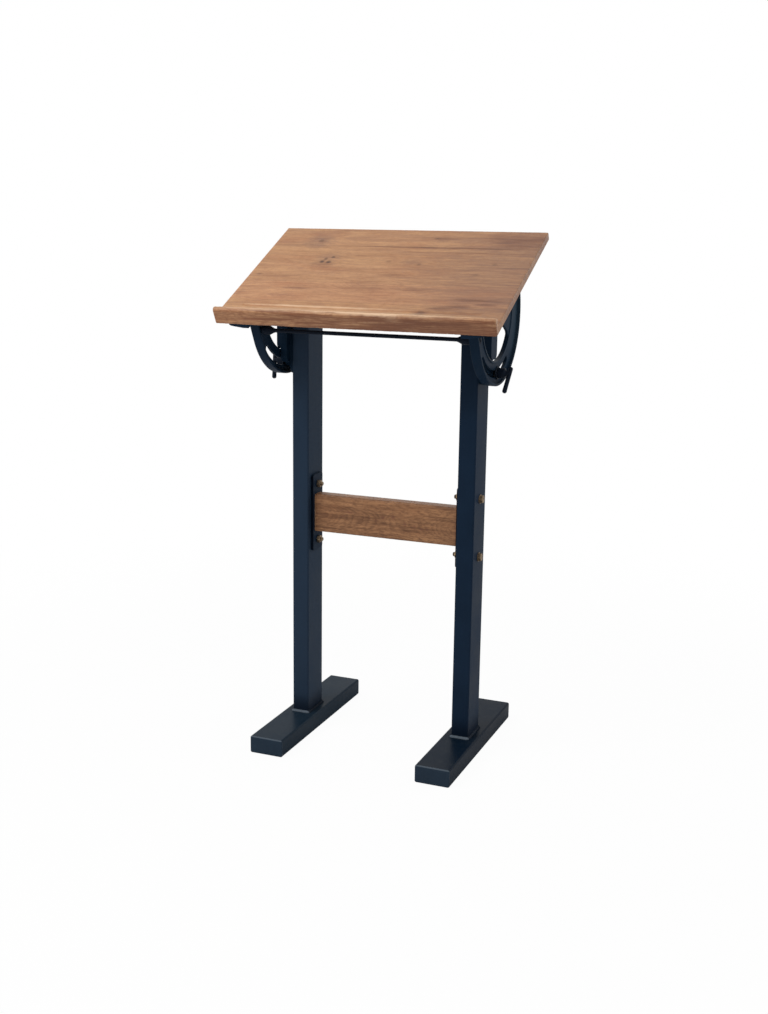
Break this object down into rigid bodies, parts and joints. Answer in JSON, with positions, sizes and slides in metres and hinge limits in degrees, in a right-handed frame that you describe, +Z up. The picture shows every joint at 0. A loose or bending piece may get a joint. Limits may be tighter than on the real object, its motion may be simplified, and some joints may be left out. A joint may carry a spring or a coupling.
{
  "type": "standing desk",
  "caption": "Clerk's standing desk: tilting wooden top with a front lip on slotted quadrant brackets, carried by two flat steel posts on flat feet joined by a wooden stretcher.",
  "frame": {"origin": "on the floor midway between the two posts, 6 mm behind the middle of the whole part's outline", "axes": "+X to the reader's right, +Y away from the reader, +Z up; the top slopes down towards -Y"},
  "size_m": [0.63, 0.4535, 1.167],
  "materials": {
    "painted_steel": "satin blue-black paint",
    "painted_casting": "satin black paint over sand casting",
    "blackened_steel": "blackened",
    "dark_fastener": "blackened",
    "zinc_fastener": "yellow zinc plate",
    "black_plastic": "fine matte",
    "desk_wood": "satin oiled",
    "lip_wood": "satin oiled, darker",
    "stretcher_wood": "satin oiled"
  },
  "bodies": {
    "stand": {"foot_left": "painted_steel", "foot_right": "painted_steel", "foot_end_caps": "painted_steel", "post_left": "painted_steel", "post_right": "painted_steel", "post_welds": "painted_steel", "post_caps": "black_plastic", "stretcher": "stretcher_wood", "stretcher_plate_left": "painted_steel", "stretcher_plate_right": "painted_steel", "stretcher_screws": "zinc_fastener", "stretcher_bolts": "zinc_fastener", "stretcher_nuts": "zinc_fastener", "stretcher_washers": "zinc_fastener", "post_bracket_left": "painted_casting", "post_bracket_right": "painted_casting", "pivot_pins": "dark_fastener", "bracket_bolts": "dark_fastener", "clamp_studs": "dark_fastener", "clamp_washers": "dark_fastener"},
    "desktop": {"desk_board": "desk_wood", "front_lip": "lip_wood", "quadrant_left": "painted_casting", "quadrant_right": "painted_casting", "desk_screws": "dark_fastener", "tie_rod": "blackened_steel", "tie_rod_nuts": "dark_fastener"},
    "clamp_lever_left": {"clamp_lever_left": "blackened_steel"},
    "clamp_lever_right": {"clamp_lever_right": "blackened_steel"}
  },
  "joints": [
    {"name": "desktop_tilt", "type": "hinge", "parent": "stand", "child": "desktop", "pos_m": [0, -0.0195, 1.0009], "axis": [1, 0, 0], "range_deg": [-29.5, 49.4]},
    {"name": "clamp_left_turn", "type": "hinge", "parent": "stand", "child": "clamp_lever_left", "pos_m": [-0.2631, -0.0075, 0.87246], "axis": [1, 0, 0], "range_deg": [-90, 90]},
    {"name": "clamp_right_turn", "type": "hinge", "parent": "stand", "child": "clamp_lever_right", "pos_m": [0.2631, -0.0075, 0.87246], "axis": [1, 0, 0], "range_deg": [-90, 90]}
  ]
}
